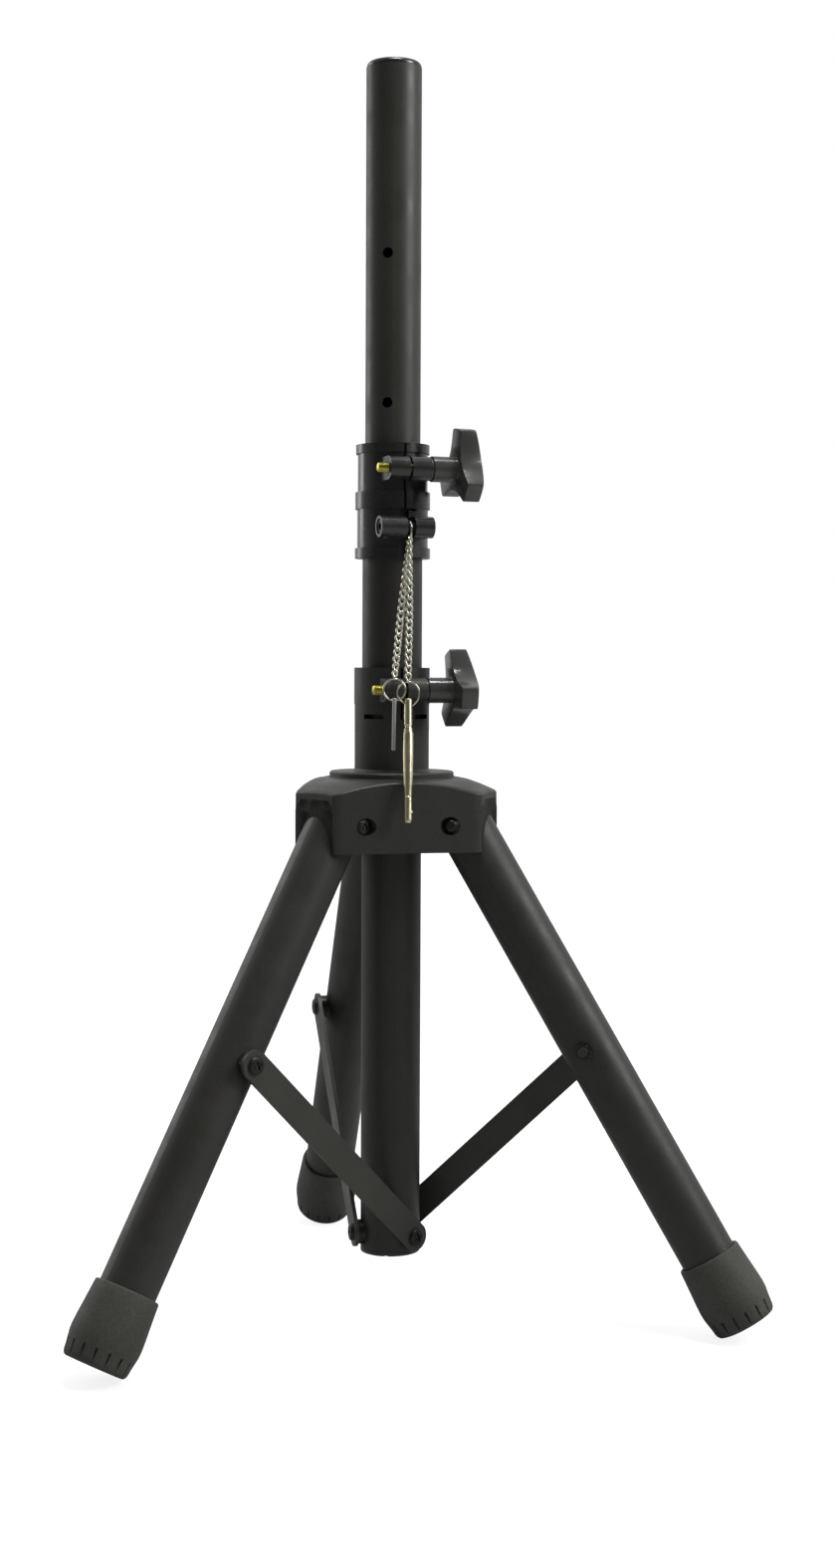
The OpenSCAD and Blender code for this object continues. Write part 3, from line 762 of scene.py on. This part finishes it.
def foot(side):
    """Rubber boot: flared cup, rolled rim, grip notches round its lower edge, ringed sole."""
    m = along_leg(side)
    node = side + "_foot"
    lo, hi = span(node, m)
    tube_r = span(side + "_leg_tube", m)[1].x
    turns = notch_turns()
    bm = bmesh.new()
    rows = []
    for r, z in foot_profile(hi.x, lo.z, hi.z, tube_r):
        if r < 1e-6:
            rows.append([bm.verts.new(Vector((0, 0, z)))])
            continue
        notched = z < lo.z + NOTCH_TOP and r > 14
        row = []
        for t, cut in turns:
            q = min(r, NOTCH_FLOOR * hi.x) if cut and notched else r
            row.append(bm.verts.new(Vector((q * math.cos(t), q * math.sin(t), z))))
        rows.append(row)
    skin(bm, zip(rows, rows[1:]))
    finish_mesh(side + "_rubber_foot", bm, RUBBER, m, side + "_leg", (node,), angle=38)


# ------------------------------------------------------------------ chain, rings and pins

CHAIN_Y = Vector(JOINTS["left_chain_swing"]["axis"]).normalized()
CHAIN = Matrix((CHAIN_Y.cross(UP), CHAIN_Y, UP)).transposed().to_4x4()
LINK_WIRE = 0.70          # radius of the chain's wire
LINK_HALF_WIDTH = 1.80    # from a link's middle to its wire's centre
LINK_PITCH = 4.72
LINK_SLEW = math.radians(45)    # how far each end of a link is twisted from its middle
HOOK_WIRE = 0.85
# turn of the links at the strand's top, near its middle and at its lower end, in degrees
STRAND_TURNS = {"left": (82, 12, 58), "right": (78, 6, 42)}
STRAND_MIDDLE = 0.52      # share of the strand's length where the middle turn stands


def strand_turn(side, share):
    """Turn of a link at a share of the strand's length."""
    top, middle, low = STRAND_TURNS[side]
    if share < STRAND_MIDDLE:
        return math.radians(top + (middle - top) * (share / STRAND_MIDDLE) ** 2)
    past = (share - STRAND_MIDDLE) / (1 - STRAND_MIDDLE)
    return math.radians(middle + (low - middle) * past ** 2)


def curb_strand(side):
    """Twisted oval links, each end a quarter turn from the other, nested along the strand."""
    inv = CHAIN.inverted()
    top = inv @ (Vector(JOINTS[side + "_chain_swing"]["pos_m"]) * 1000)
    low = inv @ (Vector(JOINTS[side + "_ring_swing"]["pos_m"]) * 1000)
    line = low - top
    count = int(round((line.length - 0.6) / LINK_PITCH))
    half_length = line.length / count / 2 + LINK_WIRE
    along = line.normalized()
    across = (Vector((1, 0, 0)) - along * along.x).normalized()
    out = along.cross(across)
    bm = bmesh.new()
    for k in range(count):
        share = (k + 0.5) / count
        middle = top + line * share
        turn = strand_turn(side, share)
        points = []
        for i in range(28):
            t = 2 * math.pi * i / 28
            slew = turn + LINK_SLEW * math.cos(t)
            beside = math.sin(slew) * out - math.cos(slew) * across
            points.append(middle + along * (half_length * math.cos(t))
                          + beside * (LINK_HALF_WIDTH * math.sin(t)))
        sweep(bm, points, LINK_WIRE, 10, True, along)
    finish_mesh(side + "_curb_chain", bm, BRIGHT, CHAIN, side + "_chain", (side + "_chain",),
                angle=60)


def hook():
    """Closed wire loop over the pinch screw, long way down; it lies in the frame's Y-Z plane."""
    at = at_hook()
    lo, hi = span("chain_hook", at)
    middle = (lo + hi) / 2
    half_y = (hi.y - lo.y) / 2 - HOOK_WIRE
    half_z = (hi.z - lo.z) / 2 - HOOK_WIRE
    bow = min(half_y, half_z)
    points = []
    for i in range(56):
        t = 2 * math.pi * i / 56
        y = bow * math.cos(t) + math.copysign(half_y - bow, math.cos(t))
        z = bow * math.sin(t) + math.copysign(half_z - bow, math.sin(t))
        points.append(Vector((0, middle.y + y, middle.z + z)))
    bm = bmesh.new()
    sweep(bm, points, HOOK_WIRE, 14, True, Vector((1, 0, 0)))
    finish_mesh("hook_loop", bm, BRIGHT, at, "chain_hook", ("chain_hook",), angle=60)


def key_ring(side, start_deg, end_deg, spring):
    """Wire ring seen from the front; spring opens its far end outward."""
    lo, hi = span(side + "_ring", CHAIN)
    middle = (lo + hi) / 2
    wire = (hi.y - lo.y) / 2
    r = (hi.z - lo.z) / 2 - wire
    closed = end_deg - start_deg >= 360
    steps = 72
    points = []
    for i in range(steps if closed else steps + 1):
        share = i / steps
        t = math.radians(start_deg + (end_deg - start_deg) * share)
        q = r + spring * max(0, (share - 0.80) / 0.20) ** 1.6
        lift = 0.9 * spring * max(0, share - 0.85)
        points.append(middle + Vector((q * math.sin(t), -lift, -q * math.cos(t))))
    bm = bmesh.new()
    sweep(bm, points, wire, 14, closed, Vector((0, 1, 0)))
    finish_mesh(side + "_key_ring", bm, BRIGHT, CHAIN, side + "_ring", (side + "_ring",),
                angle=60)


# ------------------------------------------------------------------ pole and hub

POLE_MOUNT = next(m for m in frame["record"]["mounts"] if m["name"] == "pole_top")
POLE_STEP = POLE_MOUNT["pos_m"][2] * 1000 - POLE_MOUNT["dims"]["length_mm"] / 2
HUB_TOP = span("hub")[1].z


def pole_cap():
    """Domed cap on the pole's open end, with a plug inside."""
    lo, hi = span("pole_top_cap")
    r = hi.x
    seam = span("pole_tube")[1].z
    bm = bmesh.new()
    outline = [(0, hi.z), (r - 3.0, hi.z)]
    for k in range(1, 9):
        t = math.radians(90 - 90 * k / 8)
        outline.append((r - 3.0 + 2.75 * math.cos(t), hi.z - 2.9 + 2.9 * math.sin(t)))
    outline += [(r - 0.22, seam + 0.25), (r - 0.6, seam), (r - 1.6, seam), (r - 1.6, lo.z),
                (r - 4.0, lo.z), (r - 4.0, seam + 0.6), (0, seam + 0.6)]
    lathe(bm, outline, 96)
    finish_mesh("pole_end_cap", bm, MOULD, NO_TURN, "pole", ("pole_top_cap",))


def pole_shoulder(p):
    """The step on the pole, 4 mm above the clamp in the design, is drawn in the clamp's mouth."""
    return -4.0 if abs(p.z - POLE_STEP) < 0.5 else 0.0


def hub_corner_edge(e):
    """The upright outer corners of the hub and the arched rims of its three faces."""
    a, b = (v.co for v in e.verts)
    reach = min(math.hypot(a.x, a.y), math.hypot(b.x, b.y))
    upright = abs(a.x - b.x) + abs(a.y - b.y) < 0.05 and abs(a.z - b.z) > 10
    sharp = e.calc_face_angle(0) > math.radians(20)
    arch = min(a.z, b.z) > HUB_TOP - 14 and reach > 47
    return sharp and reach > 47 and (upright and reach > 60 or arch)


def hub_seat_edge(e):
    """The rims of the sunk seats around the hinge bolts and nuts."""
    a, b = (v.co for v in e.verts)
    return (a - b).length < 1.2 and max(a.z, b.z) < HUB_TOP - 14 and a.z > HUB_TOP - 40


def hub_crown(p):
    """Rise of the casting's top: 1 mm beside the flange, none at the corners."""
    reach = math.hypot(p.x, p.y)
    if p.z < HUB_TOP - 12 or reach < 30:
        return 0.0
    return min(1.0, max(0.0, (63 - reach) / 12))


# ------------------------------------------------------------------ all the pieces

for side_ in SIDES:
    foot(side_)
    refine(side_ + "_brace", BAR, 0.35)
    refine(side_ + "_leg_spacer", SCREW, 0.4)
hinge_bolts()
hinge_nuts()
lower_brace_bolts()
for side_ in SIDES:
    brace_pivot(side_)
for name_, at_ in (("upper_knob", UPPER), ("lower_knob", LOWER)):
    knob(name_, at_)
    knob_screw(name_, at_)
    refine(name_ + "_washer", KNOB, 0.25)
    refine(name_ + "_nut", SCREW, 0.3)
pinch_screw()
curb_strand("left")
curb_strand("right")
hook()
key_ring("left", 0, 360, 0.0)
key_ring("right", 8, -346, 1.6)
refine("small_pin", DULL, 0.12)
refine("safety_pin", PIN, 0.15)
pole_cap()
refine("tube_spacers", SCREW, 0.4)
refine("tube_end_cap", MOULD, 0.6)
refine("upper_clamp", MOULD, 0.8)
refine("hub_collar", HUBMAT, 0.7)
refine("pole_tube", POLE, 0.12, swell=pole_shoulder)
refine("hub", HUBMAT, 0.8, wide=hub_corner_edge, keep=hub_seat_edge, swell=hub_crown)


# ------------------------------------------------------------------ stage, light and camera

CAM_AZ = math.radians(-12.4)     # direction of the camera, seen from above
CAM_DIST = 1.4135                # metres from the pole's axis
CAM_HEIGHT = 0.4140
CAM_PITCH = math.radians(3.10)
CAM_YAW = math.radians(0.67)
CAM_ROLL = math.radians(0.25)
TO_CAMERA = Vector((math.sin(CAM_AZ), -math.cos(CAM_AZ), 0))
TO_RIGHT = Vector((math.cos(CAM_AZ), math.sin(CAM_AZ), 0))


def floor_material():
    """Pale matt floor. The camera sees a little of its own glow, so it stays near white."""
    made = bpy.data.materials.new("floor_white")
    made.use_nodes = True
    tree = made.node_tree
    tree.nodes.clear()
    surface = tree.nodes.new("ShaderNodeOutputMaterial")
    diffuse = tree.nodes.new("ShaderNodeBsdfDiffuse")
    diffuse.inputs["Color"].default_value = (0.45, 0.45, 0.445, 1)
    place = tree.nodes.new("ShaderNodeNewGeometry")
    distance = tree.nodes.new("ShaderNodeVectorMath")
    distance.operation = "LENGTH"
    tree.links.new(place.outputs["Position"], distance.inputs[0])
    ramp = remap(tree, distance.outputs["Value"], 0.84, 1.0, 0.5, 2.5)
    ray = tree.nodes.new("ShaderNodeLightPath")
    glow = tree.nodes.new("ShaderNodeEmission")
    tree.links.new(multiply(tree, ray.outputs["Is Camera Ray"], ramp), glow.inputs["Strength"])
    both = tree.nodes.new("ShaderNodeAddShader")
    tree.links.new(diffuse.outputs[0], both.inputs[0])
    tree.links.new(glow.outputs[0], both.inputs[1])
    tree.links.new(both.outputs[0], surface.inputs["Surface"])
    return made


def floor_plane(half, z):
    """Square floor in metres, a little under the soles."""
    bm = bmesh.new()
    bmesh.ops.create_grid(bm, x_segments=8, y_segments=8, size=half)
    me = bpy.data.meshes.new("floor")
    bm.to_mesh(me)
    bm.free()
    me.transform(Matrix.Translation((0, 0, z)))
    me.materials.append(floor_material())
    plane = bpy.data.objects.new("floor", me)
    bpy.context.scene.collection.objects.link(plane)


def studio_world(front, back):
    """White behind the object; dimmer towards the camera, so that round parts keep dark cores."""
    world = bpy.data.worlds.new("studio")
    bpy.context.scene.world = world
    world.use_nodes = True
    tree = world.node_tree
    light = tree.nodes["Background"]
    light.inputs["Color"].default_value = (1, 1, 1, 1)
    direction = tree.nodes.new("ShaderNodeTexCoord")
    facing = tree.nodes.new("ShaderNodeVectorMath")
    facing.operation = "DOT_PRODUCT"
    facing.inputs[1].default_value = TO_CAMERA
    tree.links.new(direction.outputs["Generated"], facing.inputs[0])
    strength = remap(tree, facing.outputs["Value"], back, front, -1.0, 0.6)
    ray = tree.nodes.new("ShaderNodeLightPath")
    choice = tree.nodes.new("ShaderNodeMix")
    tree.links.new(ray.outputs["Is Camera Ray"], choice.inputs[0])
    tree.links.new(strength, choice.inputs[2])
    choice.inputs[3].default_value = 1.0
    tree.links.new(choice.outputs[0], light.inputs["Strength"])


def softbox(name, sideways, forward, height, aim_z, size, power):
    """Area light placed from the camera's point of view, in metres from the pole."""
    lamp = bpy.data.lights.new(name, "AREA")
    lamp.shape = "RECTANGLE"
    lamp.size, lamp.size_y = size
    lamp.energy = power
    light = bpy.data.objects.new(name, lamp)
    where = TO_RIGHT * sideways + TO_CAMERA * forward + UP * height
    light.location = where
    light.rotation_mode = "QUATERNION"
    light.rotation_quaternion = (UP * aim_z - where).to_track_quat("-Z", "Y")
    bpy.context.scene.collection.objects.link(light)


def camera():
    lens = bpy.data.cameras.new("camera")
    lens.sensor_width = 36.0
    lens.lens = 50.94
    lens.clip_end = 60
    eye = bpy.data.objects.new("camera", lens)
    bpy.context.scene.collection.objects.link(eye)
    eye.location = TO_CAMERA * CAM_DIST + UP * CAM_HEIGHT
    look = (Matrix.Rotation(CAM_AZ, 4, "Z") @ Matrix.Rotation(-CAM_YAW, 4, "Z")
            @ Matrix.Rotation(math.radians(90) - CAM_PITCH, 4, "X")
            @ Matrix.Rotation(CAM_ROLL, 4, "Z"))
    eye.rotation_euler = look.to_euler()
    bpy.context.scene.camera = eye
    bpy.context.scene.view_settings.view_transform = "Standard"


floor_plane(12.0, -0.0004)
studio_world(0.07, 0.75)
softbox("key_right", 1.5, 0.45, 1.35, 0.55, (0.7, 1.0), 16)
softbox("top", 0.15, 0.20, 2.1, 0.3, (0.45, 0.45), 15)
softbox("left_back", -1.4, -0.9, 1.0, 0.4, (0.6, 1.2), 5)
camera()
